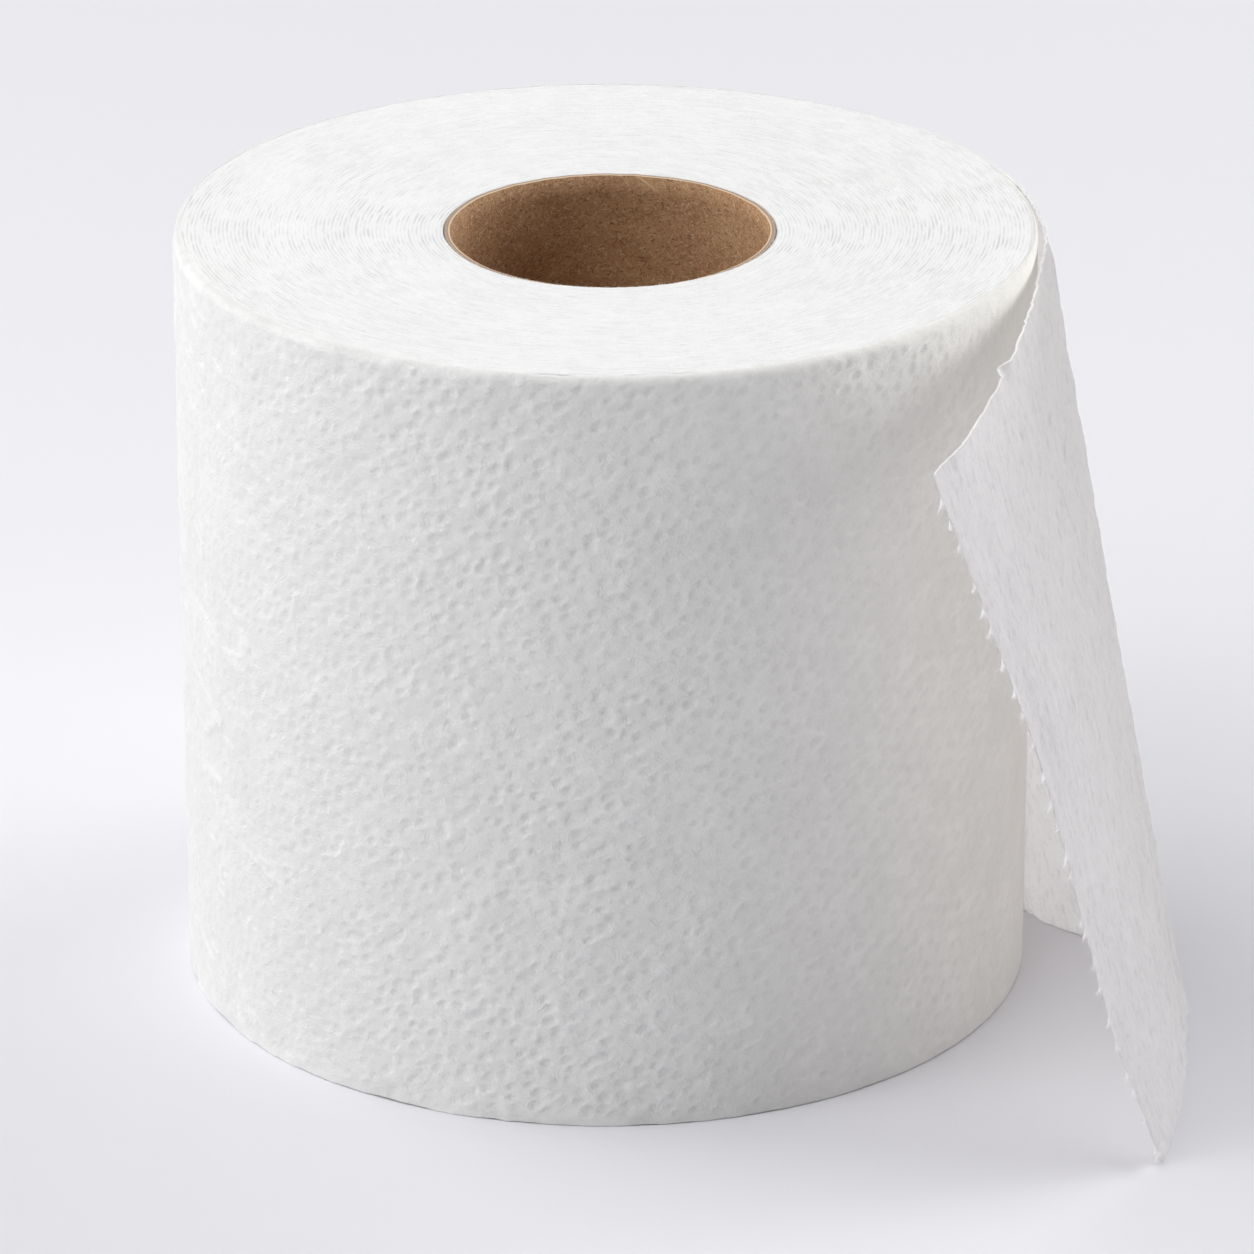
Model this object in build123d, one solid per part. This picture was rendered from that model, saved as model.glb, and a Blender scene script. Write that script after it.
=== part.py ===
from build123d import *
import math
import os

# Toilet paper roll standing on its end, with its last sheet hanging loose.
# Millimetres. The origin is on the axis of the tube, at the lower end of the roll, and +Z is up.

# The roll
roll_width = 100.0
roll_diameter = 110.0
rim_bevel = 1.0

# The board tube that the paper is wound on
core_diameter = 42.0
core_wall = 0.75
core_clearance = 0.05

# The web of tissue, and the turns that show as a spiral of valleys in both ends of the roll.
# Flat rings are left beside the rim and the tube, and the crests lie a little lower than those.
sheet_thickness = 0.5
turn_pitch = 4.4
groove_depth = 0.5
crest_drop = 0.1
end_margin = 1.0

# The loose sheet leaves the roll along an upright line, at this angle from +X
departure_angle = 15.8
peel_angle = 4.0

# Its lower and upper edges seen from above, as arcs that follow on: their radii, and the angles
# that they turn through. A positive angle bends the sheet away from the roll.
lower_edge_radii = [32.4, 12.6, 135.0]
lower_edge_angles = [41.0, -55.0, -22.7]
upper_edge_radii = [55.0, 26.8, 286.0]
upper_edge_angles = [-9.5, -17.4, -14.8]

# A sheet that leans outwards loses height, so its top edge slopes down from the rim of the roll
top_edge_slope = 3.8

# The torn end: short tabs of paper left between the slits of the perforation
tab_pitch = 3.8
tab_width = 1.1
tab_length = 0.7

# How far a cutting shape reaches past what it cuts
cut_margin = 2.0

roll_radius = roll_diameter / 2
core_radius = core_diameter / 2
bore_radius = core_radius - core_wall
paper_bore_radius = core_radius + core_clearance


def half_turn(section, side, step):
    """Half a turn of a spiral whose radius drops by step in each turn.

    The section stands on the XZ plane, where the spiral passes the departure line. A spiral of
    tangent half turns has two centres, a quarter of a step either side of the roll's axis.
    """
    centre = Axis((side * step / 4, 0, 0), (0, 0, side))
    return revolve(section, centre, 180)


def wound_body():
    """The wound paper without its grooves: its surface drops by one sheet at the departure line."""
    body = Part()
    for side, radius in ((1, roll_radius), (-1, roll_radius - sheet_thickness)):
        section = Rectangle(radius - bore_radius, roll_width, align=(Align.MIN, Align.MIN))
        outline = Pos(bore_radius, 0) * section
        rims = outline.vertices().group_by(Axis.X)[-1]
        outline = chamfer(rims, rim_bevel)
        body += half_turn(Plane.XZ * outline, side, sheet_thickness)
    bore_length = roll_width + 2 * cut_margin
    return body - Pos(0, 0, roll_width / 2) * Cylinder(paper_bore_radius, bore_length)


def turn_grooves():
    """What is cut from both ends so that the turns show: a spiral of valleys between low crests."""
    outermost = roll_radius - rim_bevel - end_margin
    innermost = paper_bore_radius + end_margin
    valley_count = math.floor((outermost - innermost) / turn_pitch) - 1
    grooves = []
    for side, first in ((1, outermost), (-1, outermost - turn_pitch)):
        outline = [(first + turn_pitch / 2, groove_depth), (first - turn_pitch / 2, -groove_depth)]
        for turn in range(1, valley_count):
            crest = first - turn * turn_pitch
            outline += [(crest, -crest_drop), (crest - turn_pitch / 2, -groove_depth)]
        outline.append((first - (valley_count + 0.5) * turn_pitch, groove_depth))
        section = Pos(0, roll_width) * Polygon(*outline, align=None)
        upper = half_turn(Plane.XZ * section, side, turn_pitch)
        grooves += [upper, mirror(upper, about=Plane.XY.offset(roll_width / 2))]
    return grooves


def arc_chain(start, radii, angles, offset):
    """Tangent arcs, moved by an offset towards the roll, and the heading that they end in."""
    heading = peel_angle - 90
    arcs = []
    for radius, angle in zip(radii, angles):
        shifted = radius + math.copysign(offset, angle)
        arc = JernArc(start, Vector(1, 0).rotate(Axis.Z, heading), shifted, angle)
        arcs.append(arc)
        start = arc @ 1
        heading += angle
    return arcs, heading


def sheet_edge(radii, angles):
    """The thin plan of the sheet along one of its edges, with the place and heading of its torn end."""
    outer, heading = arc_chain((roll_radius, 0), radii, angles, 0)
    inner, _ = arc_chain((roll_radius - sheet_thickness, 0), radii, angles, sheet_thickness)
    torn_end = Line(outer[-1] @ 1, inner[-1] @ 1)
    root_end = Line(inner[0] @ 0, outer[0] @ 0)
    outline = Curve() + [*outer, torn_end, *reversed(inner), root_end]
    return make_face(outline.edges()), outer[-1] @ 1, Vector(1, 0).rotate(Axis.Z, heading)


def loose_sheet():
    """The last sheet: a thin ruled solid between its two edges, with a torn perforated end."""
    lower_face, lower_end, lower_heading = sheet_edge(lower_edge_radii, lower_edge_angles)
    upper_face, upper_end, upper_heading = sheet_edge(upper_edge_radii, upper_edge_angles)
    upper_end += Vector(0, 0, roll_width)
    sheet = loft([lower_face, Pos(0, 0, roll_width) * upper_face], ruled=True)

    slope = math.radians(top_edge_slope)
    upright = (0, -math.sin(slope), math.cos(slope))
    top_edge = Plane((roll_radius, 0, roll_width), x_dir=(1, 0, 0), z_dir=upright)
    sheet = split(sheet, bisect_by=top_edge, keep=Keep.BOTTOM)

    torn_edge = upper_end - lower_end
    slit_count = round(torn_edge.length / tab_pitch)
    slit_width = torn_edge.length / slit_count - tab_width
    slit = Box(2 * tab_length, sheet_thickness + 2 * cut_margin, slit_width)
    slits = []
    for index in range(slit_count):
        share = (index + 0.5) / slit_count
        heading = lower_heading * (1 - share) + upper_heading * share
        place = Plane(lower_end + torn_edge * share, x_dir=heading, z_dir=torn_edge)
        slits.append(place * slit)
    return sheet - slits


def cardboard_core():
    """The tube of glued board, open at both ends and cut flush with the paper."""
    section = Pos(bore_radius, 0) * Rectangle(core_wall, roll_width, align=(Align.MIN, Align.MIN))
    return revolve(Plane.XZ * section, Axis.Z)


def tissue_paper():
    """The whole web of tissue: its turns and its loose last sheet are one piece."""
    paper = wound_body() - turn_grooves() + loose_sheet()
    return Rot(0, 0, departure_angle) * paper


os.makedirs("parts", exist_ok=True)
export_step(cardboard_core(), "parts/cardboard_core.step")
export_step(tissue_paper(), "parts/tissue_paper.step")
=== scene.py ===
import math

import bpy
import numpy as np
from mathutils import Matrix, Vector


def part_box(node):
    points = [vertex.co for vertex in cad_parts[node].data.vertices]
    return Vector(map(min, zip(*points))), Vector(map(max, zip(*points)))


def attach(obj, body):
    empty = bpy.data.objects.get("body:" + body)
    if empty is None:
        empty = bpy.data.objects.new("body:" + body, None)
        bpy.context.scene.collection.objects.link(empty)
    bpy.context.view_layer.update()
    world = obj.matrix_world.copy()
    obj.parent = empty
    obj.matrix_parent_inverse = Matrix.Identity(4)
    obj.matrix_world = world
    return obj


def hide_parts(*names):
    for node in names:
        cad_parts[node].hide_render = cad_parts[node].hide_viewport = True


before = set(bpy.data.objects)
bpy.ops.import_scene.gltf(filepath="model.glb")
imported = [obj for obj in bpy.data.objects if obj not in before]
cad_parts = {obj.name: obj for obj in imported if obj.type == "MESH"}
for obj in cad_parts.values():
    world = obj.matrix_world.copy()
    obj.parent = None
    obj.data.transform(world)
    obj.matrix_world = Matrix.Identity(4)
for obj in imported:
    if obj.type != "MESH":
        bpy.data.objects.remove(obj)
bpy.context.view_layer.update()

# Toilet paper roll standing on its end, with its last sheet hanging loose.
# Sizes are in millimetres, and build_mesh() turns them into metres. Angles are in degrees, and
# pairs of numbers such as (12, 34) are the ends of a stretch over which something rises or falls.
MM = 0.001

# The roll and its tube, as the frame has them
core_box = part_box("cardboard_core")
roll_width = (core_box[1].z - core_box[0].z) / MM
core_radius = core_box[1].x / MM
core_wall = 0.75
bore_radius = core_radius - core_wall
roll_radius = 55.0
sheet_thickness = 0.5
turn_length = 2 * math.pi * (roll_radius - sheet_thickness / 2)

# Near the tube the ends of the roll sink a little, and the turns follow the tube, which isn't quite
# in the middle. The tube is cut a little short, lower towards the front, with a worn rim.
end_dish = 0.68
dish_radius = 48.0
core_shift = 0.45
shift_radius = 50.0
core_inset = 0.05
core_slant = 0.42
core_rim_wear = 0.08

# The loose sheet, as the frame has it: where it leaves the roll, and the arcs of its edges
departure_angle = 15.8
peel_angle = 4.0
lower_edge_radii = [32.4, 12.6, 135.0]
lower_edge_angles = [41.0, -55.0, -22.7]
upper_edge_radii = [55.0, 26.8, 286.0]
upper_edge_angles = [-9.5, -17.4, -14.8]
top_edge_slope = 3.8

# The length of each arc halfway up the sheet, and of the whole sheet
edge_arcs = zip(lower_edge_radii, lower_edge_angles, upper_edge_radii, upper_edge_angles)
arc_lengths = [(low * abs(math.radians(low_angle)) + high * abs(math.radians(high_angle))) / 2
               for low, low_angle, high, high_angle in edge_arcs]
sheet_length = sum(arc_lengths)

# Its thin paper, whose wrinkles lean a little. It thins where it leaves the roll and at its torn end,
# and it lets light through once it is free of the roll.
loose_thickness = 0.32
thinning_stretch = (14.0, 0.0)
torn_thinning = 0.8
torn_thinning_length = 1.2
streak_lean = 0.2
sheet_step = 0.46
freed_stretch = 5.0
edge_bulge = 0.35

# The tabs and the single layer of its torn end
tab_count = 25
tab_length = 2.6
tab_widths_above_below = (0.55, 0.24)
tab_droop = 0.2
torn_retreat = 0.4
fringe_root = 0.4
torn_step = 0.14

# The sheet bows near its torn end, as waves up the sheet of half its height and less, and its top
# swells out on a stretch before that end
bow_waves = (0.65, -0.81, -0.39)
bow_stretch = (35.0, 90.0)
top_swell = 0.45
swell_rise, swell_fall = (50.0, 64.0), (80.0, 88.0)

# Near the roll its top lies closer to the turn below
hug_rise, hug_fall = (0.0, 3.0), (12.0, 34.0)
hug_height = (95.5, 100.0)
hug_gap = 0.1

# Its foot stands in low waves, lifts off the floor between them and tucks in further on
foot_rise, foot_fall = (8.0, 16.0), (50.0, 62.0)
foot_wave = 9.0
foot_wave_depth = 0.45
foot_wave_height = 25.0
foot_lift = 0.25
foot_lift_height = 8.0
foot_tuck = 0.6
foot_tuck_height = 10.0
tuck_rise, tuck_fall = (38.0, 50.0), (68.0, 86.0)

# A dog-ear of its top edge: its place along the sheet, half width, height and how far it stands in
ear_place = 61.3
ear_width = 2.0
ear_height = 2.2
ear_depth = 1.1

# The outer turn, whose edges are rolled over the rims. It runs on a little under the loose sheet.
upper_rim_radius = 1.2
lower_rim_radius = 0.2
rim_lip = 0.5
lip_depth = 0.22
lip_reach = np.array([1.0, 0.4])
lip_sink = np.array([1.0, 0.3])
wrap_tuck = 5.0
fine_step = 0.36
coarse_step = 0.5
fine_stretch = (150.0, 335.0)

# Where the rims are rounded, in turns from the departure line, and their share of roundness elsewhere
rounding_rise, rounding_fall = (0.38, 0.52), (0.84, 0.97)
sharp_rim_share = 0.25

# The turns that show in the ends
turn_pitch = 0.5
turn_relief = 0.1
end_inset = 0.08
tube_gap = 0.12
rows_per_turn = 3
row_heights = np.array([0.0, 0.9, 0.9])
upper_end_columns = 440
lower_end_columns = 150

# The embossing: two dimples in each cell of a slanted pattern, with a low pillow between them.
# Marks are wider than high, lean, and have a shallow ring round them.
cell_right = (2.25, 1.85)
cell_down = (3.15, -0.9)
dimple_radius = 0.66
dimple_depth = 0.15
dimple_steepness = 3
pillow_radius = 0.95
pillow_height = 0.06
pillow_steepness = 1
mark_jitter = 0.24
mark_heights = (0.4, 1.15)
mark_sizes = (0.75, 1.2)
mark_squeeze = (0.75, 1.4)
mark_lean = (0.87, 0.5)
ring_share = 0.2
ring_place = 1.35
ring_sharpness = 9

# It is pressed smooth behind the loose sheet, and fainter and more ridged on the left flank
smoothed_stretch = (286.0, 322.0)
smoothed_lean = 0.12
smoothed_share = 0.07
ridge_height = 0.125
flank_ridge_height = 0.17
flank_turns = (0.52, 0.66)
flank_ridge_turns = (0.63, 0.54)
flank_share = 0.35

# Steep wrinkles that tissue has from its making, stronger where the embossing is pressed smooth
crepe_height = 0.012
crepe_lean = 0.12
smoothed_crepe = 2.8

# The rims are a little uneven, and more so at the left
uneven_rise, uneven_fall = (0.42, 0.5), (0.66, 0.78)
uneven_reach = 2.2

# The seam of the spirally wound board, as a height at +X and a rise in one turn
seam_height = 79.25
seam_rise = 90.0

# Stray fibres, and the thicker tufts of the torn end
fibre_width = 0.03
tuft_width = 0.06

rng = np.random.default_rng(11)


# Noise and shaping

def smooth_step(low, high, value):
    """Rises smoothly from 0 at low to 1 at high, which may also be the lower number."""
    share = np.clip((value - low) / (high - low), 0, 1)
    return share * share * (3 - 2 * share)


def rise_and_fall(rise, fall, value):
    """Rises smoothly from 0 to 1 over the first stretch, and falls to 0 over the second."""
    return smooth_step(*rise, value) * smooth_step(*fall[::-1], value)


def noise(x, y, size, seed):
    """Smooth noise from -1 to 1, in lumps of about that size."""
    cells = 128
    table = np.random.default_rng(seed).uniform(-1, 1, (cells, cells))
    u, v = np.asarray(x) / size, np.asarray(y) / size
    i, j = np.floor(u).astype(int), np.floor(v).astype(int)
    s, t = smooth_step(0, 1, u - i), smooth_step(0, 1, v - j)
    near = table[i % cells, j % cells] * (1 - s) + table[(i + 1) % cells, j % cells] * s
    far = table[i % cells, (j + 1) % cells] * (1 - s) + table[(i + 1) % cells, (j + 1) % cells] * s
    return near * (1 - t) + far * t


def lumps(x, y, layers):
    """The sum of some noises, each given by its strength, its size and its seed."""
    return sum(strength * noise(x, y, size, seed) for strength, size, seed in layers)


def unit(vectors):
    return vectors / np.maximum(np.linalg.norm(vectors, axis=-1, keepdims=True), 1e-12)


def grid_normals(points):
    """Unit normals of a grid of points, that face you with its columns to the right and rows up."""
    return unit(np.cross(np.gradient(points, axis=0), np.gradient(points, axis=1)))


# Meshes

def build_mesh(name, points, faces, normals=None, web=None):
    """An object from points in millimetres. web is each point's place on the flat paper."""
    mesh = bpy.data.meshes.new(name)
    mesh.from_pydata(points * MM, [], faces)
    mesh.polygons.foreach_set("use_smooth", np.ones(len(mesh.polygons), dtype=bool))
    if web is not None:
        attribute = mesh.attributes.new("web", "FLOAT_VECTOR", "POINT")
        attribute.data.foreach_set("vector", web.astype(np.float32).ravel())
    mesh.update()
    if normals is not None:
        mesh.normals_split_custom_set_from_vertices(normals)
    obj = bpy.data.objects.new(name, mesh)
    bpy.context.scene.collection.objects.link(obj)
    return obj


def build_joined(name, parts):
    """One object from parts that each have points, normals, quads and places on the web."""
    points, normals, faces, web = zip(*parts)
    starts = np.cumsum([0] + [len(part) for part in points])
    faces = [part + start for part, start in zip(faces, starts)]
    return build_mesh(name, np.concatenate(points), np.concatenate(faces),
                      np.concatenate(normals), np.concatenate(web))


def grid_faces(columns, rows):
    """The quads of a grid of columns by rows, whose points follow column after column."""
    i, j = np.meshgrid(np.arange(columns - 1), np.arange(rows - 1), indexing="ij")
    here = i * rows + j
    return np.stack([here, here + rows, here + rows + 1, here + 1], -1).reshape(-1, 4)


def strip_faces(first, second):
    """The quads between two lines of as many points each."""
    return np.stack([first[:-1], first[1:], second[1:], second[:-1]], -1)


# The embossed surface of the paper

def mark_shape(square, steepness):
    """A mark is 1 in its middle, and a little below 0 on a ring. square is a squared distance."""
    ring = np.exp(-ring_sharpness * (np.sqrt(square) - ring_place) ** 2)
    return np.exp(-square ** steepness) - ring_share * ring


def embossing(along, up):
    """How far the paper stands out, at each place of a grid over the web."""
    relief = np.zeros(along.shape)
    a_line, b_line = along[:, 0], up[0]
    first, last = np.array([a_line[0], b_line[0]]), np.array([a_line[-1], b_line[-1]])
    cell = np.array([cell_right, cell_down])
    count = int((last - first).sum() / np.hypot(*cell[0]))
    index = np.stack(np.meshgrid(np.arange(-count, count), np.arange(-count, count)), -1)
    corners = index.reshape(-1, 2) @ cell + first + (last - first) / 2
    lean_cos, lean_sin = mark_lean
    for share, height, radius, steepness in ((1 / 3, -dimple_depth, dimple_radius, dimple_steepness),
                                             (2 / 3, -dimple_depth, dimple_radius, dimple_steepness),
                                             (0.0, pillow_height, pillow_radius, pillow_steepness)):
        spots = corners + share * cell.sum(0) + rng.normal(0, mark_jitter, corners.shape)
        heights = height * rng.uniform(*mark_heights, len(spots))
        radii = radius * rng.uniform(*mark_sizes, len(spots))
        inside = np.all((spots > first) & (spots < last), axis=1)
        for (a, b), mark_height, mark_radius in zip(spots[inside], heights[inside], radii[inside]):
            i0, i1 = np.searchsorted(a_line, [a - 2 * mark_radius, a + 2 * mark_radius])
            j0, j1 = np.searchsorted(b_line, [b - 2 * mark_radius, b + 2 * mark_radius])
            da, db = along[i0:i1, j0:j1] - a, up[i0:i1, j0:j1] - b
            across, upward = lean_cos * da + lean_sin * db, lean_cos * db - lean_sin * da
            square = (mark_squeeze[0] * across ** 2 + mark_squeeze[1] * upward ** 2) / mark_radius ** 2
            relief[i0:i1, j0:j1] += mark_height * mark_shape(square, steepness)
    return relief


def ridges(along, up, length, lean, size, seed):
    """Thin ridges that come and go, from 0 to 1. They are longer than wide, and lean on the web."""
    lines = np.maximum(1 - 4 * np.abs(noise(along / length, up + lean * along, size, seed)), 0)
    return lines * smooth_step(-0.2, 0.4, noise(along, up, 2.6, seed + 1))


def crepe(along, up):
    """The fine steep wrinkles that tissue has from its making."""
    leaned = along - crepe_lean * up
    return 0.5 * noise(leaned, up, 0.9, 3) + noise(2.0 * leaned, 0.16 * up, 1.0, 4)


# The path of the web

def arc_points(radii, angles, place):
    """Points on a chain of arcs that leaves the roll. place counts arcs, with a fraction."""
    x, y = np.zeros(place.shape), np.zeros(place.shape)
    start_x, start_y, heading = roll_radius, 0.0, math.radians(peel_angle - 90)
    for index, (radius, angle) in enumerate(zip(radii, angles)):
        turn, signed = math.radians(angle), math.copysign(radius, angle)
        now = heading + turn * (place - index)
        inside = place >= index
        x = np.where(inside, start_x + signed * (np.sin(now) - math.sin(heading)), x)
        y = np.where(inside, start_y + signed * (math.cos(heading) - np.cos(now)), y)
        start_x += signed * (math.sin(heading + turn) - math.sin(heading))
        start_y += signed * (math.cos(heading) - math.cos(heading + turn))
        heading += turn
    return x, y


def turned(x, y, z):
    """Points turned about the roll's axis, to where the loose sheet leaves it."""
    angle = math.radians(departure_angle)
    cos, sin = math.cos(angle), math.sin(angle)
    return np.stack([x * cos - y * sin, x * sin + y * cos, z], -1)


def ruled_surface(distance, up):
    """The loose sheet with straight upright lines between its lower and upper edges."""
    ends = np.concatenate([[0.0], np.cumsum(arc_lengths)])
    index = np.clip(np.searchsorted(ends, distance, side="right") - 1, 0, len(arc_lengths) - 1)
    place = index + (distance - ends[index]) / np.array(arc_lengths)[index]
    lower_x, lower_y = arc_points(lower_edge_radii, lower_edge_angles, place)
    upper_x, upper_y = arc_points(upper_edge_radii, upper_edge_angles, place)
    slope = math.tan(math.radians(top_edge_slope))
    top = (roll_width + slope * lower_y) / (1 - slope * (upper_y - lower_y) / roll_width)
    z = up / roll_width * top
    share = z / roll_width
    return turned(lower_x + (upper_x - lower_x) * share, lower_y + (upper_y - lower_y) * share, z)


def bowed_out(distance, up):
    """How far the sheet bows and swells outwards."""
    waves = sum(size * np.sin((k + 1) * math.pi * up / roll_width) for k, size in enumerate(bow_waves))
    swell = top_swell * rise_and_fall(swell_rise, swell_fall, distance) * up / roll_width
    return waves * smooth_step(*bow_stretch, distance) + swell


def drawn_in(place, distance, up):
    """How far the top near the roll, the foot further on and the dog-ear stand in."""
    apart = np.maximum(np.hypot(place[..., 0], place[..., 1]) - roll_radius + hug_gap, 0)
    hug = apart * rise_and_fall(hug_rise, hug_fall, distance) * smooth_step(*hug_height, up)
    tuck = foot_tuck * rise_and_fall(tuck_rise, tuck_fall, distance) * np.exp(-up / foot_tuck_height)
    ear = np.maximum(1 - np.abs(distance - ear_place) / ear_width, 0)
    return hug + tuck + ear_depth * ear * smooth_step(roll_width - ear_height, roll_width, up)


def loose_surface(distance, up):
    """Where the flat sheet comes to lie, at a distance along it and a height of its web."""
    ahead_by = 0.5
    place = ruled_surface(distance, up)
    ahead = (ruled_surface(distance + ahead_by, up) - place) / ahead_by
    outward = np.stack([-ahead[..., 1], ahead[..., 0], 0 * ahead[..., 0]], -1)

    foot = rise_and_fall(foot_rise, foot_fall, distance)
    waves = np.exp(-up / foot_wave_height) * np.sin(2 * math.pi * distance / foot_wave)
    offset = bowed_out(distance, up) - drawn_in(place, distance, up) + foot_wave_depth * foot * waves
    rises = np.exp(-up / foot_lift_height) * (1 + np.sin(1.3 * math.pi * distance / foot_wave + 1))
    lift = foot_lift * foot * rises
    return place + outward * offset[..., None] + lift[..., None] * [0, 0, 1]


def flat_place(distance, up, relief):
    """The loose sheet's place on the web for its materials, whose wrinkles lean a little."""
    return np.stack([-distance - streak_lean * up, up, relief], -1)


def wound_surface(along, offset, height):
    """Where the outer turn lies: its radius drops by one sheet in a whole turn."""
    turns = along / turn_length
    radius = roll_radius - sheet_thickness * turns + offset
    return turned(radius * np.cos(2 * math.pi * turns), radius * np.sin(2 * math.pi * turns), height)


# The outer turn of paper

def rim_rows(radius):
    """Half of the outer turn's rows, from its lip in the end to its middle: inset and height."""
    bend = np.radians(np.linspace(90, 0, 7))
    middle = np.linspace(radius, roll_width / 2, round((roll_width / 2 - radius) / fine_step))
    inset = [radius + rim_lip * lip_reach, radius * (1 - np.cos(bend)), 0 * middle[1:]]
    height = [lip_depth * lip_sink, radius * (1 - np.sin(bend)), middle[1:]]
    return np.concatenate(inset), np.concatenate(height)


def rim_profile():
    """The rows of the outer turn: how far in from its face, how high, and their place on the web."""
    lower_inset, lower_height = rim_rows(lower_rim_radius)
    upper_inset, upper_height = rim_rows(upper_rim_radius)
    inset = np.concatenate([lower_inset, upper_inset[-2::-1]])
    height = np.concatenate([lower_height, roll_width - upper_height[-2::-1]])
    web = np.concatenate([[0.0], np.cumsum(np.hypot(np.diff(inset), np.diff(height)))])
    return inset, height, web + (roll_width - web[-1]) / 2


def rim_share(along):
    """How far the rims are rounded: more at the front and left than at the back and right."""
    rounded = rise_and_fall(rounding_rise, rounding_fall, along / turn_length)
    return sharp_rim_share + (1 - sharp_rim_share) * rounded


def outer_relief(along, up):
    """The outer turn's embossing, wrinkles and slow lumps, pressed smooth behind the loose sheet."""
    turns = along / turn_length
    embossed = 1 - smooth_step(*smoothed_stretch, along + smoothed_lean * (up - roll_width / 2))
    fainter = flank_share + (1 - flank_share) * smooth_step(*flank_turns, turns)
    strength = 0.95 + lumps(along, up, ((0.15, 9.0, 21), (0.15, 4.0, 22)))
    marks = embossing(along, up) * strength * fainter
    marks += ridge_height * fainter * ridges(along, up, 1.7, -0.2, 2.2, 25)
    flank_ridges = smooth_step(*flank_ridge_turns, turns) * ridges(along, up, 4.5, 0.4, 2.4, 27)
    marks += flank_ridge_height * flank_ridges

    from_rim = np.minimum(up, roll_width - up)
    relief = marks * (smoothed_share + (1 - smoothed_share) * embossed) * smooth_step(-0.5, 2.0, from_rim)
    relief += crepe_height * crepe(along, up) * (smoothed_crepe - (smoothed_crepe - 1) * embossed)
    relief += lumps(along, up, ((0.05, 7.0, 5), (0.03, 3.0, 6), (0.022, 1.3, 9)))

    near_rim = np.exp(-np.maximum(from_rim, 0) / uneven_reach)
    uneven = rise_and_fall(uneven_rise, uneven_fall, turns)
    for extra, size, seed in ((0.14, 1.8, 7), (0.12, 4.0, 8)):
        relief += near_rim * (0.02 + extra * uneven) * noise(along, up, size, seed)
    return relief * smooth_step(0.0, 3.0, along)


def build_outer_turn():
    length = turn_length + wrap_tuck
    stretches = [(0.0, fine_stretch[0], coarse_step), (*fine_stretch, fine_step),
                 (fine_stretch[1], length, coarse_step)]
    columns = [np.linspace(a, b, round((b - a) / step), endpoint=False) for a, b, step in stretches]
    columns = np.append(np.concatenate(columns), length)
    inset, height, web_rows = rim_profile()
    along, up = np.meshgrid(columns, web_rows, indexing="ij")
    base = wound_surface(along, -inset[None] * rim_share(along), height[None] + 0 * along)
    relief = outer_relief(along, up)
    points = base + grid_normals(base) * relief[..., None]
    normals = grid_normals(points)
    web = np.stack([along, up, relief], -1)

    cuts = np.searchsorted(columns, [0.0, fine_stretch[0], sum(fine_stretch) / 2, length])
    names = ("outer_turn_back", "outer_turn_left", "outer_turn_front")
    pieces = []
    for name, first, last in zip(names, cuts, cuts[1:]):
        part = slice(first, last + 1)
        faces = grid_faces(last + 1 - first, len(web_rows))
        pieces.append(build_mesh(name, points[part].reshape(-1, 3), faces,
                                 normals[part].reshape(-1, 3), web[part].reshape(-1, 3)))
    return pieces


# The loose last sheet

def torn_tabs():
    """The height, the size and the width of each tab that the tearing left."""
    pitch = roll_width / tab_count
    heights = (np.arange(tab_count) + 0.5) * pitch + rng.normal(0, 0.2 * pitch, tab_count)
    sizes = rng.uniform(0.5, 1.1, tab_count)
    sizes[0] = 1.3
    return heights, sizes, rng.uniform(0.7, 1.3, tab_count)


tab_heights, tab_sizes, tab_widths = torn_tabs()


def torn_edge(up):
    """How much further than a straight cut the sheet reaches, at each height."""
    apart = up[:, None] - tab_heights[None]
    width = np.where(apart > 0, *tab_widths_above_below) * tab_widths
    spikes = (tab_sizes * tab_length * np.exp(-(np.abs(apart) / width) ** 1.3)).max(1)
    return spikes - torn_retreat + lumps(up, 0 * up, ((0.13, 0.3, 31), (0.2, 0.9, 32)))


def loose_relief(distance, up):
    """The loose sheet's embossing and its wrinkles, which are steeper near the roll."""
    near_roll = smooth_step(80, 40, distance)
    relief = 0.25 * embossing(distance, up) + 0.05 * (1 + near_roll) * crepe(-distance, up)
    relief += (0.05 + 0.15 * near_roll) * np.maximum(noise(distance, up / 2.4, 1.2, 47), 0)
    relief += 0.1 * noise(distance / 0.8, up / 4, 1.0, 45)
    relief += lumps(distance, up, ((0.05, 1.2, 46), (0.14, 9.0, 41), (0.09, 3.5, 42)))
    return relief * smooth_step(0, 4, distance)


def relieved(distance, up, relief):
    """The loose sheet's outer face and the way that it faces."""
    base = loose_surface(distance, up)
    outer = base - grid_normals(base) * relief[..., None]
    return outer, -grid_normals(outer)


def paper_thickness(distance, up):
    thinner = smooth_step(*thinning_stretch, distance)
    thickness = loose_thickness + (sheet_thickness - loose_thickness) * thinner
    torn = smooth_step(sheet_length - torn_thinning_length, sheet_length, distance)
    return thickness * (1 - torn_thinning * torn) * (1 + 0.2 * noise(distance, up, 0.8, 43))


def edge_bead(outer, inner, normals, heading):
    """A rounded edge between the two faces of the paper: its points, normals and quads."""
    count = len(outer)
    thickness = np.linalg.norm(outer - inner, axis=1, keepdims=True)
    crest = (outer + inner) / 2 + edge_bulge * thickness * heading
    points = np.concatenate([outer, crest, inner])
    shaded = np.concatenate([unit(0.7 * normals + heading), heading, unit(heading - 0.7 * normals)])
    line = np.arange(count)
    faces = [strip_faces(line, line + count), strip_faces(line + count, line + 2 * count)]
    return points, shaded, np.concatenate(faces)


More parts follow.
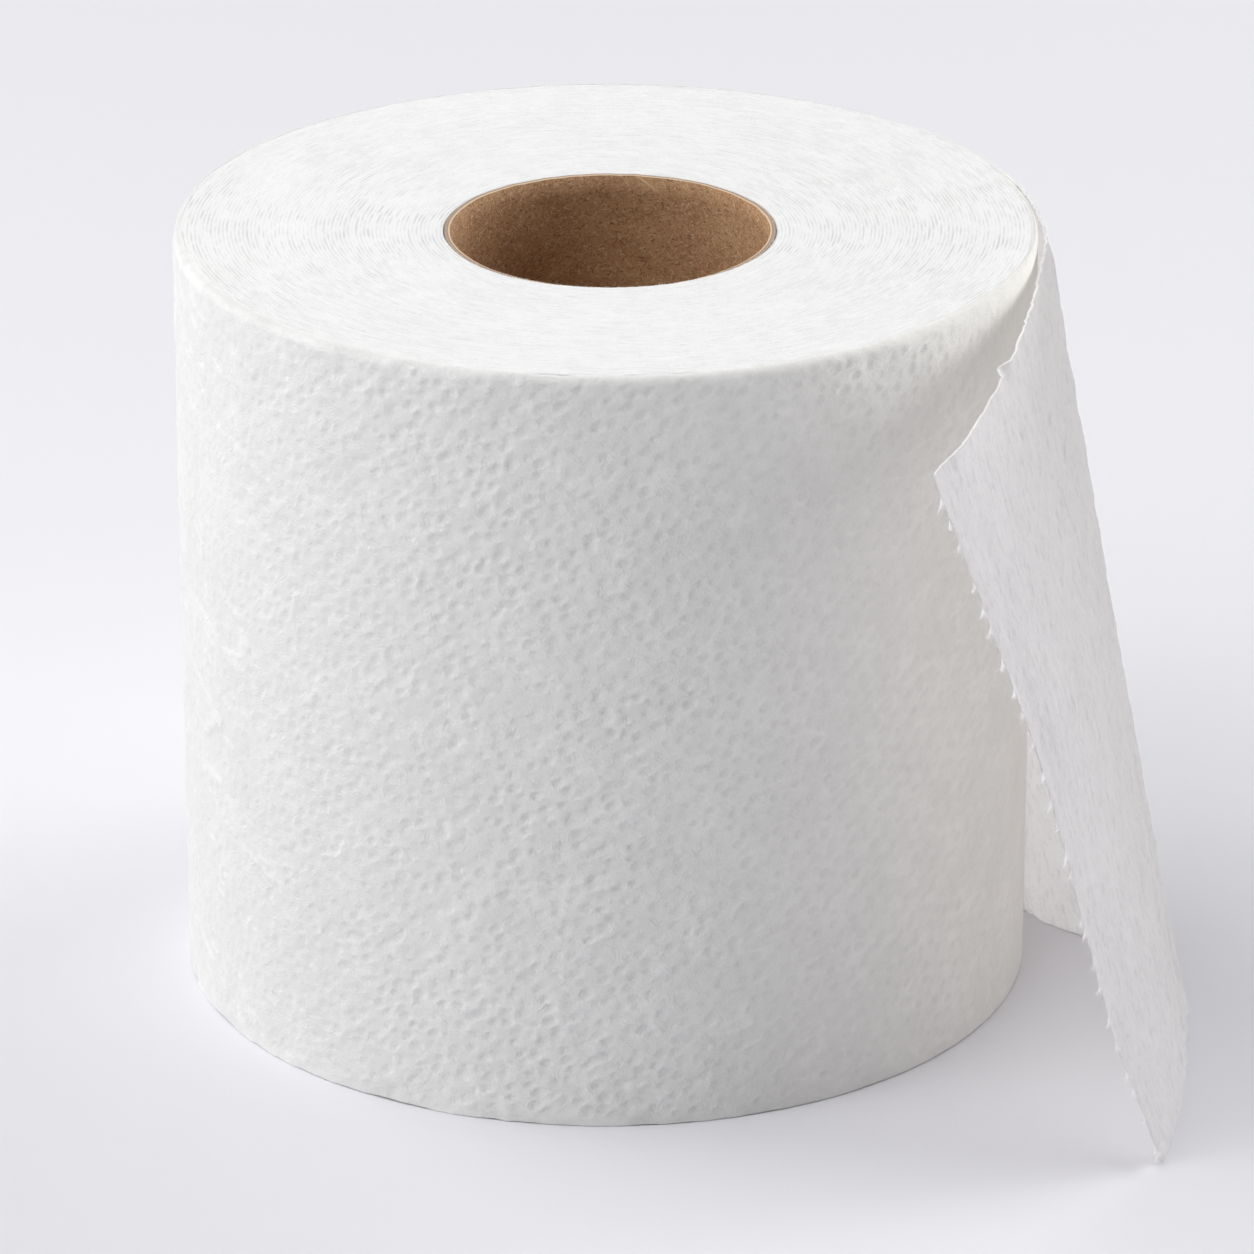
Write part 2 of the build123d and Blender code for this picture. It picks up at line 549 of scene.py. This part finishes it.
def build_loose_sheet():
    along_line = np.linspace(0, sheet_length, round(sheet_length / sheet_step) + 1)
    up_line = np.linspace(0, roll_width, round(roll_width / sheet_step) + 1)
    distance, up = np.meshgrid(along_line, up_line, indexing="ij")
    relief = loose_relief(distance, up)
    outer, facing = relieved(distance, up, relief)
    inner = outer - facing * paper_thickness(distance, up)[..., None]
    place = flat_place(distance, up, relief)

    # Its two faces, and the strip that closes them at the torn end
    quads = grid_faces(*distance.shape)
    end_line = np.arange(len(up_line))
    flat_web = place.reshape(-1, 3)
    faces_of_sheet = [
        (outer.reshape(-1, 3), facing.reshape(-1, 3), quads[:, ::-1], flat_web),
        (inner.reshape(-1, 3), -facing.reshape(-1, 3), quads, flat_web),
        (np.concatenate([outer[-1], inner[-1]]), np.tile(facing[-1], (2, 1)),
         strip_faces(end_line, end_line + len(end_line)), np.tile(place[-1], (2, 1)))]

    edges = []
    upward = np.broadcast_to([0.0, 0.0, 1.0], facing[:, 0].shape)
    for line, row, heading in ((slice(None, None, -1), -1, upward), (slice(None), 0, -upward)):
        edge = edge_bead(outer[line, row], inner[line, row], facing[line, row], heading)
        edges.append((*edge, np.tile(place[line, row], (3, 1))))
    return [build_joined("loose_sheet", faces_of_sheet), build_joined("loose_sheet_edges", edges),
            build_fringe(up_line, relief[-1])]


def build_fringe(up_line, last_relief):
    """The torn end's fringe: a single layer of paper, with the tabs between the perforations."""
    fine_up = np.linspace(0, roll_width, round(roll_width / torn_step) + 1)
    share, up = np.meshgrid(np.linspace(0, 1, 7), fine_up, indexing="ij")
    torn = np.maximum(torn_edge(fine_up), 0.2 - fringe_root)[None]
    distance = sheet_length - fringe_root + share * (fringe_root + torn)
    height = np.maximum(up - tab_droop * share ** 2 * np.maximum(torn, 0), 0)
    relief = np.interp(up, up_line, last_relief) + 0.12 * share ** 2 * noise(distance, height, 0.6, 44)
    outer, facing = relieved(distance, height, relief)
    points = outer - 0.1 * loose_thickness * facing
    return build_mesh("torn_fringe", points.reshape(-1, 3), grid_faces(*up.shape)[:, ::-1],
                      facing.reshape(-1, 3), flat_place(distance, up, relief).reshape(-1, 3))


# The ends, where the edges of the turns show

def build_end(name, upper, column_count):
    """One end of the wound paper, as a strip that follows the spiral of its turns."""
    inner = core_radius + tube_gap
    rim = upper_rim_radius if upper else lower_rim_radius
    outer = roll_radius - rim * float(rim_share(0.0))
    step = turn_pitch / rows_per_turn
    rows = math.ceil((outer - inner) / step) + 2 * rows_per_turn
    turn, row = np.meshgrid(np.arange(column_count + 1) / column_count, np.arange(rows), indexing="ij")
    angle = 2 * math.pi * turn

    # The strip ends under the lip of the outer turn, and what would lie past it or in the tube sinks
    raw = outer - step * row - turn_pitch * turn
    limit = roll_radius - sheet_thickness * turn - (rim + 0.45 * rim_lip) * rim_share(turn * turn_length)
    past = 1.5 * np.maximum(inner - raw, 0) + np.maximum(raw - limit, 0)

    # Each turn stands a little higher or lower than the next, and the gaps come and go
    highest = row_heights.max()
    crest = outer - turn_pitch * (row // rows_per_turn + 0.5 + turn)
    web = math.pi * (outer ** 2 - crest ** 2) / turn_pitch
    radius = np.clip(raw + 0.04 * noise(web, 0 * web, 1.7, 57), inner, limit)
    x, y = radius * np.cos(angle), radius * np.sin(angle)
    strength = 0.8 + lumps(x, y, ((0.4, 2.2, 51), (0.2, 9.0, 56)))
    groove = turn_relief * (highest - row_heights[row % rows_per_turn]) * strength
    groove = groove * (1 + 0.9 * noise(web, 0 * web, 1.4, 52))
    lift = 0.02 * noise(web, 0 * web, 3.0, 53) + lumps(x, y, ((0.05, 9.0, 54), (0.03, 0.8, 55))) - groove
    z = -end_inset + lift - end_dish * smooth_step(dish_radius, core_radius, radius) - past
    z = roll_width + z if upper else -z
    shift = core_shift * smooth_step(shift_radius, core_radius, radius)
    points = turned(x, y, z) + shift[..., None] * [1, 0, 0]

    # The strip's last column lies on its first one, a turn further in
    faces = grid_faces(column_count + 1, rows)
    if upper:
        faces = faces[:, ::-1]
    mean_radius = 36.0
    place = np.stack([2 * math.pi * mean_radius * turn, radius, groove], -1).reshape(-1, 3)
    return build_mesh(name, points.reshape(-1, 3), faces, None, place)


# The board tube

def build_core():
    """The tube as rings of points: up its bore, over its upper rim, down its outside and back."""
    bore_rows, outside_rows = 40, 12
    angle = np.linspace(-math.pi / 2, 3 * math.pi / 2, 361)
    climb = np.linspace(0, 1, bore_rows)
    rim = np.linspace(bore_radius, core_radius, 7)[1:-1]
    wear = core_rim_wear * (1 - np.array([0.6, 0.1, 0, 0.1, 0.6]))
    radius = np.concatenate([np.full(bore_rows, bore_radius), rim,
                             np.full(outside_rows, core_radius), rim[::-1]])
    share = np.concatenate([climb, 0 * rim + 1, np.linspace(1, 0, outside_rows), 0 * rim])
    rounding = np.concatenate([0 * climb, wear, np.zeros(outside_rows), -wear])
    turn, row = np.meshgrid(angle, np.arange(len(radius)), indexing="ij")

    # The upper end is cut a little slanted, lower towards the front
    slant = core_slant * (0.5 - 0.5 * np.sin(turn)) ** 3
    arc = turn * bore_radius
    ragged = 0.05 * noise(arc, 0 * arc, 1.6, 61)
    low, high = end_dish + core_inset, roll_width - end_dish - core_inset - slant + ragged
    z = low + (high - low) * share[row] + rounding[row]
    in_bore = radius[row] < bore_radius + 0.01
    r = radius[row] + 0.04 * noise(arc, z, 6.0, 62) * in_bore
    points = np.stack([r * np.cos(turn) + core_shift, r * np.sin(turn), z], -1)
    index = np.arange(turn.size).reshape(turn.shape)
    first, second = index[:-1], index[1:]
    faces = np.stack([first, np.roll(first, -1, axis=1), np.roll(second, -1, axis=1), second], -1)
    web = np.stack([arc, z, radius[row] - bore_radius], -1).reshape(-1, 3)
    return build_mesh("core_tube", points.reshape(-1, 3), faces.reshape(-1, 4), None, web)


# Stray fibres

def build_fibres(name, roots, directions, lengths, width):
    """Thin bent hairs from their roots, each of two quads."""
    count = len(roots)
    wander = rng.normal(0, 0.45, (2, count, 3)) * lengths[None, :, None]
    middle = roots + directions * lengths[:, None] * 0.5 + wander[0] * 0.3
    tip = roots + directions * lengths[:, None] + wander[1] * 0.5
    side = unit(np.cross(directions, rng.normal(0, 1, (count, 3)))) * width / 2
    points = np.stack([roots - side, roots + side, middle - side, middle + side,
                       tip - side * 0.4, tip + side * 0.4], 1)
    points[..., 2] = np.clip(points[..., 2], 0.02, roll_width + 0.35)
    start = 6 * np.arange(count)[:, None]
    faces = np.concatenate([start + [0, 1, 3, 2], start + [2, 3, 5, 4]])
    return build_mesh(name, points.reshape(-1, 3), faces, None, np.repeat(roots, 6, axis=0))


def build_fuzz():
    """Fibres on the rim, on the torn end and top of the loose sheet, and round the tube."""
    rim_count, torn_count, top_count, tube_count = 700, 1500, 900, 900
    fibres = []

    def add(places, heads, shortest, longest):
        fibres.append((places, unit(heads), rng.uniform(shortest, longest, len(places))))

    # The upper rim
    along = rng.uniform(0, turn_length, rim_count)
    inset = rng.uniform(0.2, 1.6, len(along)) * rim_share(along)
    places = wound_surface(along, -inset, roll_width - 0.1 + 0 * along)
    outward = places * [1, 1, 0] / roll_radius
    add(places, outward * 0.9 + [0, 0, 0.25] + rng.normal(0, 0.4, places.shape), 0.15, 0.45)

    # The torn end
    up = rng.uniform(0, roll_width, torn_count)
    distance = np.full(len(up), sheet_length - 0.15)
    places = loose_surface(distance, up)
    ahead = loose_surface(distance + 1, up) - places
    add(places, ahead + [0, 0, -0.35] + rng.normal(0, 0.4, places.shape), 0.2, 0.7)

    # The top of the loose sheet
    distance = rng.uniform(4, sheet_length, top_count)
    places = loose_surface(distance, np.full(len(distance), roll_width - 0.05))
    add(places, [0, 0, 1] + rng.normal(0, 0.6, places.shape), 0.1, 0.3)

    # The edge of the paper round the tube
    angle = rng.uniform(0, 2 * math.pi, tube_count)
    inward = np.stack([-np.cos(angle), -np.sin(angle), 0 * angle], -1)
    places = -inward * (core_radius + 0.3) + [core_shift, 0, roll_width - end_dish - end_inset - 0.03]
    add(places, inward * 0.9 + rng.normal(0, 0.5, places.shape), 0.15, 0.55)
    roots, directions, lengths = (np.concatenate(part) for part in zip(*fibres))
    return build_fibres("stray_fibres", roots, directions, lengths, fibre_width)


def build_tufts():
    """Tufts of fibres at the tips of the torn end's tabs, and a thicker one at its foot."""
    tuft_count, foot_count = 900, 80
    tab = rng.integers(0, tab_count, tuft_count)
    tab[:foot_count] = 0
    up = np.clip(tab_heights[tab] + rng.normal(-0.1, 0.22, tuft_count), 0.3, roll_width - 0.3)
    reach = np.maximum(torn_edge(up), 0) * rng.uniform(0.3, 1.0, tuft_count)
    height = up - tab_droop * reach
    places = loose_surface(sheet_length + reach, height)
    ahead = loose_surface(sheet_length + reach + 1, height) - places
    heads = unit(ahead + [0, 0, -0.25] + rng.normal(0, 0.35, places.shape))
    return build_fibres("torn_tufts", places, heads, rng.uniform(0.3, 0.9, tuft_count), tuft_width)


# Materials

def new_material(name):
    material = bpy.data.materials.new(name)
    material.use_nodes = True
    nodes = material.node_tree.nodes
    return material, nodes, material.node_tree.links, nodes["Principled BSDF"]


def web_attribute(nodes):
    """Each point's place on the flat paper in millimetres, and the relief or depth there."""
    attribute = nodes.new("ShaderNodeAttribute")
    attribute.attribute_name = "web"
    return attribute.outputs["Vector"]


def web_parts(nodes, links):
    split = nodes.new("ShaderNodeSeparateXYZ")
    links.new(web_attribute(nodes), split.inputs["Vector"])
    return split.outputs


def web_place(nodes, links, scale):
    """The place on the flat paper, stretched by a scale along each direction."""
    mapping = nodes.new("ShaderNodeMapping")
    mapping.inputs["Scale"].default_value = scale
    links.new(web_attribute(nodes), mapping.inputs["Vector"])
    return mapping.outputs["Vector"]


def noise_texture(nodes, links, vector, scale, detail=3.0, distortion=0.0):
    texture = nodes.new("ShaderNodeTexNoise")
    texture.inputs["Scale"].default_value = scale
    texture.inputs["Detail"].default_value = detail
    texture.inputs["Distortion"].default_value = distortion
    links.new(vector, texture.inputs["Vector"])
    return texture.outputs["Fac"]


def ramp(nodes, links, value, stops):
    """A ramp of greys or colours, given as (place, colour) pairs."""
    node = nodes.new("ShaderNodeValToRGB")
    elements = node.color_ramp.elements
    while len(elements) < len(stops):
        elements.new(0.5)
    for element, (place, colour) in zip(elements, stops):
        element.position = place
        element.color = (*colour, 1.0) if isinstance(colour, tuple) else (colour, colour, colour, 1.0)
    links.new(value, node.inputs["Fac"])
    return node.outputs["Color"]


def connect(links, socket, value):
    """Feeds a socket from another node, a colour or a number."""
    if hasattr(value, "links"):
        links.new(value, socket)
    elif isinstance(value, tuple):
        socket.default_value = (*value, 1.0)
    elif value is not None:
        socket.default_value = value


def mix(nodes, links, factor, first, second, blend="MIX"):
    node = nodes.new("ShaderNodeMix")
    node.data_type = "RGBA"
    node.blend_type = blend
    for socket, value in ((node.inputs[0], factor), (node.inputs[6], first), (node.inputs[7], second)):
        connect(links, socket, value)
    return node.outputs[2]


def times(nodes, links, first, second):
    """Two colours multiplied."""
    return mix(nodes, links, 1.0, first, second, "MULTIPLY")


def math_node(nodes, links, operation, first, second=None):
    node = nodes.new("ShaderNodeMath")
    node.operation = operation
    for socket, value in zip(node.inputs, (first, second)):
        connect(links, socket, value)
    return node.outputs["Value"]


def bump(nodes, links, height, distance, strength, normal=None):
    node = nodes.new("ShaderNodeBump")
    node.inputs["Distance"].default_value = distance
    node.inputs["Strength"].default_value = strength
    links.new(height, node.inputs["Height"])
    connect(links, node.inputs["Normal"], normal)
    return node.outputs["Normal"]


def painted_gap_shade(nodes, links, colour):
    """The colour, with painted shade in the gaps between the turns, whose depth is the web's Z."""
    gap = math_node(nodes, links, "DIVIDE", web_parts(nodes, links)["Z"], turn_relief)
    return times(nodes, links, colour, ramp(nodes, links, gap, [(0.0, 1.0), (1.0, 0.86)]))


def painted_shade_and_bounce(nodes, links, colour):
    """The colour, with painted shade in the hollows, painted highlights on the crests, and painted warm
    bounce light where the loose sheet covered it.
    """
    place = web_parts(nodes, links)
    turn = math_node(nodes, links, "DIVIDE", place["X"], turn_length)
    # Painted warm bounce light, growing towards the loose sheet
    painted_bounce_light = ramp(nodes, links, turn, [(0.73, 1.0), (0.9, (1.0, 0.985, 0.95))])
    # Painted shade in the embossing's hollows and a painted highlight on its crests
    height = math_node(nodes, links, "DIVIDE", place["Z"], 2 * dimple_depth)
    height = math_node(nodes, links, "ADD", height, 0.5)
    hollow = ramp(nodes, links, height, [(0.0, 0.965), (0.5, 0.99), (0.8, 1.035)])
    return times(nodes, links, times(nodes, links, colour, painted_bounce_light), hollow)


def freed_share(nodes, links, let_through):
    """How much light the loose sheet lets through: nothing at first, where it leaves the roll."""
    place = web_parts(nodes, links)
    leaned = math_node(nodes, links, "MULTIPLY", place["Y"], streak_lean)
    behind = math_node(nodes, links, "ADD", place["X"], leaned)
    share = math_node(nodes, links, "DIVIDE", behind, -freed_stretch)
    return ramp(nodes, links, share, [(0.0, 0.0), (1.0, let_through)])


def near_level(nodes, links, value, half_width):
    """1 where a noise passes its middle level, falling to 0 at half_width from it."""
    apart = math_node(nodes, links, "ABSOLUTE", math_node(nodes, links, "SUBTRACT", value, 0.5))
    apart = math_node(nodes, links, "DIVIDE", apart, half_width)
    return ramp(nodes, links, apart, [(0.0, 1.0), (1.0, 0.0)])


def winding_creases(nodes, links, flat):
    """1 on thin winding lines that come and go over the paper, and else 0."""
    winding = near_level(nodes, links, noise_texture(nodes, links, flat, 0.42, 2.0, 1.2), 0.09)
    shown = ramp(nodes, links, noise_texture(nodes, links, flat, 0.5, 2.0), [(0.45, 0.0), (0.6, 1.0)])
    return times(nodes, links, winding, shown)


def tissue_material(name, tint, stretched, streaks, creases=0.0, shade=None):
    """Soft white tissue. stretched is the scale of its wrinkles in each direction of the web, streaks
    and creases say how much they show, and shade is a function that changes the colour."""
    material, nodes, links, shader = new_material(name)
    flat = web_place(nodes, links, (1.0, 1.0, 1.0))
    fine = noise_texture(nodes, links, flat, 3.6, 5.0, 0.6)
    crepe_lines = noise_texture(nodes, links, web_place(nodes, links, stretched), 1.4, 4.0, 0.5)
    cloud = noise_texture(nodes, links, flat, 0.16, 3.0)
    pale = tuple(0.97 * channel for channel in tint)
    colour = ramp(nodes, links, cloud, [(0.3, pale), (0.7, tint)])
    colour = times(nodes, links, colour, ramp(nodes, links, fine, [(0.3, 0.95), (0.6, 1.0)]))
    # Painted shade: the colour is darker in the valleys of the crepe wrinkles, whose bump uses the same
    # noise
    lines = ramp(nodes, links, crepe_lines, [(0.34, 1.0 - streaks), (0.48, 1.0)])
    colour = times(nodes, links, colour, lines)
    if shade:
        colour = shade(nodes, links, colour)
    links.new(colour, shader.inputs["Base Color"])

    normal = bump(nodes, links, crepe_lines, 0.0015 * streaks, 0.6)
    if creases:
        normal = bump(nodes, links, winding_creases(nodes, links, flat), 0.00006 * creases, 0.5, normal)
    links.new(bump(nodes, links, fine, 0.0001, 0.7, normal), shader.inputs["Normal"])
    shader.inputs["Roughness"].default_value = 0.95
    shader.inputs["Specular IOR Level"].default_value = 0.15
    shader.inputs["Sheen Weight"].default_value = 0.15
    shader.inputs["Sheen Roughness"].default_value = 0.6
    return material


def make_translucent(material, let_through, freed_from_roll):
    """Lets a share of the light through a tissue, either all over or once it is free of the roll."""
    nodes, links = material.node_tree.nodes, material.node_tree.links
    shader = nodes["Principled BSDF"]
    colour = shader.inputs["Base Color"].links[0].from_socket
    normal = shader.inputs["Normal"].links[0].from_socket
    through = nodes.new("ShaderNodeBsdfTranslucent")
    links.new(times(nodes, links, colour, (1.0, 0.988, 0.95)), through.inputs["Color"])
    links.new(normal, through.inputs["Normal"])
    both = nodes.new("ShaderNodeMixShader")
    share = freed_share(nodes, links, let_through) if freed_from_roll else let_through
    connect(links, both.inputs["Fac"], share)
    links.new(shader.outputs["BSDF"], both.inputs[1])
    links.new(through.outputs["BSDF"], both.inputs[2])
    links.new(both.outputs["Shader"], nodes["Material Output"].inputs["Surface"])


def seam_strength(nodes, links, place):
    """1 on the seam of the spirally wound board near the tube's upper end, and else 0."""
    climbed = math_node(nodes, links, "MULTIPLY", place["X"], seam_rise / (2 * math.pi * bore_radius))
    above = math_node(nodes, links, "SUBTRACT", place["Y"], climbed)
    above = math_node(nodes, links, "SUBTRACT", above, seam_height)
    apart = math_node(nodes, links, "PINGPONG", above, seam_rise / 2)
    line = ramp(nodes, links, apart, [(0.0, 0.6), (0.13, 0.6), (0.28, 0.0)])
    below = math_node(nodes, links, "SUBTRACT", roll_width, place["Y"])
    below = math_node(nodes, links, "DIVIDE", below, 10.0)
    return times(nodes, links, line, ramp(nodes, links, below, [(0.2, 1.0), (0.42, 0.0)]))


def fibre_lines(nodes, links, heading, length, width, share):
    """1 on short straight fibres that lie along a heading, and else 0."""
    mapping = nodes.new("ShaderNodeMapping")
    mapping.vector_type = "TEXTURE"
    mapping.inputs["Rotation"].default_value = (0, 0, math.radians(heading))
    mapping.inputs["Scale"].default_value = (length, width, 1.0)
    mapping.inputs["Location"].default_value = (heading, 0, 0)
    links.new(web_attribute(nodes), mapping.inputs["Vector"])
    value = noise_texture(nodes, links, mapping.outputs["Vector"], 1.0, 1.0, 0.5)
    return ramp(nodes, links, value, [(1 - share, 0.0), (1 - share + 0.05, 1.0)])


def board_material():
    """Brown board with fine fibres, a pale seam, and a cut end that is pale at the bore."""
    material, nodes, links, shader = new_material("brown_board")
    flat = web_place(nodes, links, (1.0, 1.0, 1.0))
    cloud = noise_texture(nodes, links, flat, 0.22, 4.0, 0.5)
    grain = noise_texture(nodes, links, flat, 4.0, 3.0)
    colour = ramp(nodes, links, cloud, [(0.3, (0.42, 0.235, 0.12)), (0.7, (0.52, 0.31, 0.17))])
    colour = times(nodes, links, colour, ramp(nodes, links, grain, [(0.3, 0.82), (0.65, 1.1)]))
    relief = grain
    for heading in (20, 65, 118, 160):
        pale = fibre_lines(nodes, links, heading, 1.1, 0.26, 0.37)
        dark = fibre_lines(nodes, links, heading + 22, 1.0, 0.26, 0.36)
        for fibres, strength, fibre_colour in ((pale, 0.55, (0.70, 0.50, 0.32)),
                                               (dark, 0.6, (0.17, 0.09, 0.045))):
            shown = math_node(nodes, links, "MULTIPLY", fibres, strength)
            colour = mix(nodes, links, shown, colour, fibre_colour)
        raised = math_node(nodes, links, "MULTIPLY", pale, 0.5)
        relief = math_node(nodes, links, "ADD", relief, raised)

    place = web_parts(nodes, links)
    colour = mix(nodes, links, seam_strength(nodes, links, place), colour, (0.72, 0.50, 0.31))
    depth = math_node(nodes, links, "DIVIDE", place["Z"], core_wall)
    cut = ramp(nodes, links, depth, [(0.02, 0.0), (0.1, 1.0)])
    cut_colour = ramp(nodes, links, depth, [(0.2, (0.82, 0.64, 0.46)), (0.42, (0.40, 0.29, 0.22)),
                                            (0.8, (0.48, 0.37, 0.30)), (1.0, (0.36, 0.26, 0.19))])
    links.new(mix(nodes, links, cut, colour, cut_colour), shader.inputs["Base Color"])
    links.new(bump(nodes, links, relief, 0.0001, 0.6), shader.inputs["Normal"])
    shader.inputs["Roughness"].default_value = 0.85
    shader.inputs["Specular IOR Level"].default_value = 0.25
    return material


# Build and place the pieces

tissue = tissue_material("white_tissue", tint=(0.92, 0.916, 0.905), stretched=(1.0, 0.6, 1.0),
                         streaks=0.02, creases=1.3, shade=painted_shade_and_bounce)
thin_tissue = tissue_material("white_tissue_single", tint=(0.914, 0.911, 0.94), stretched=(1.6, 0.4, 1.0),
                              streaks=0.09, creases=1.5)
# The torn end's tissue is paler than the loose sheet's: painted light, for the brightness that its tabs and
# tufts catch
lit_torn_tissue = tissue_material("white_tissue_torn", tint=(0.97, 0.965, 0.985), stretched=(1.5, 0.4, 1.0),
                              streaks=0.02)
end_tissue = tissue_material("white_tissue_edges", tint=(0.95, 0.95, 0.948), stretched=(0.8, 3.2, 1.0),
                             streaks=0.05, shade=painted_gap_shade)
make_translucent(thin_tissue, 0.7, freed_from_roll=True)
make_translucent(lit_torn_tissue, 0.35, freed_from_roll=False)
board = board_material()

paper_pieces = [*build_outer_turn(), *build_loose_sheet(),
                build_end("upper_end_turns", True, upper_end_columns),
                build_end("lower_end_turns", False, lower_end_columns), build_fuzz(), build_tufts()]
paper_materials = {"loose_sheet": thin_tissue, "torn_fringe": lit_torn_tissue, "torn_tufts": lit_torn_tissue,
                   "upper_end_turns": end_tissue, "lower_end_turns": end_tissue}
for piece in paper_pieces:
    piece.data.materials.append(paper_materials.get(piece.name, tissue))
    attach(piece, "root")
    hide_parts("tissue_paper")

core_tube = build_core()
core_tube.data.materials.append(board)
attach(core_tube, "root")
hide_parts("cardboard_core")


# The floor, the light and the camera

def build_floor():
    size, drop = 6000.0, -0.05
    corners = np.array([[-size, -size, drop], [size, -size, drop], [size, size, drop], [-size, size, drop]])
    floor = build_mesh("floor", corners, [(0, 1, 2, 3)])
    material, _, _, shader = new_material("floor")
    shader.inputs["Base Color"].default_value = (0.825, 0.82, 0.855, 1.0)
    shader.inputs["Roughness"].default_value = 0.9
    shader.inputs["Specular IOR Level"].default_value = 0.1
    floor.data.materials.append(material)


def light_the_scene():
    """Soft lamps round the roll: each has a name, an azimuth, a height in degrees and a power."""
    lamps = [("left_low", 190, 22, 4.2), ("left_high", 185, 50, 4.4), ("left_front", 225, 50, 9.7),
             ("left_back", 150, 35, 9.2), ("front_low", 258, 16, 0.8), ("above", 270, 85, 3.9),
             ("right_low", 5, 14, 12.7), ("right_back", 30, 20, 14.2)]
    target = Vector((0, 0, 0.05))
    distance, size = 1.6, 1.2
    for name, azimuth, height, power in lamps:
        across, upward = math.radians(azimuth), math.radians(height)
        heading = Vector((math.cos(upward) * math.cos(across), math.cos(upward) * math.sin(across),
                          math.sin(upward)))
        light = bpy.data.lights.new(name, "AREA")
        light.shape = "DISK"
        light.size = size
        light.energy = power
        lamp = bpy.data.objects.new(name, light)
        lamp.location = target + distance * heading
        lamp.rotation_euler = (-heading).to_track_quat("-Z", "Y").to_euler()
        bpy.context.scene.collection.objects.link(lamp)


def darken_the_world():
    """The lamps alone light the scene."""
    world = bpy.data.worlds.new("studio")
    world.use_nodes = True
    world.node_tree.nodes["Background"].inputs["Strength"].default_value = 0.0
    bpy.context.scene.world = world


def build_camera():
    """The camera of the photograph: its lens, its height above the floor and what it is aimed at."""
    elevation = math.radians(22.89)
    distance = 0.990
    aim = Vector((0.00259, 0.0, 0.04464))
    camera = bpy.data.cameras.new("camera")
    camera.sensor_width = 36.0
    camera.lens = 219.9
    camera.clip_start, camera.clip_end = 0.05, 50.0
    obj = bpy.data.objects.new("camera", camera)
    obj.location = aim + distance * Vector((0, -math.cos(elevation), math.sin(elevation)))
    obj.rotation_euler = (math.pi / 2 - elevation, 0, 0)
    bpy.context.scene.collection.objects.link(obj)
    bpy.context.scene.camera = obj


build_floor()
light_the_scene()
darken_the_world()
build_camera()

bpy.context.scene.view_settings.view_transform = "Standard"
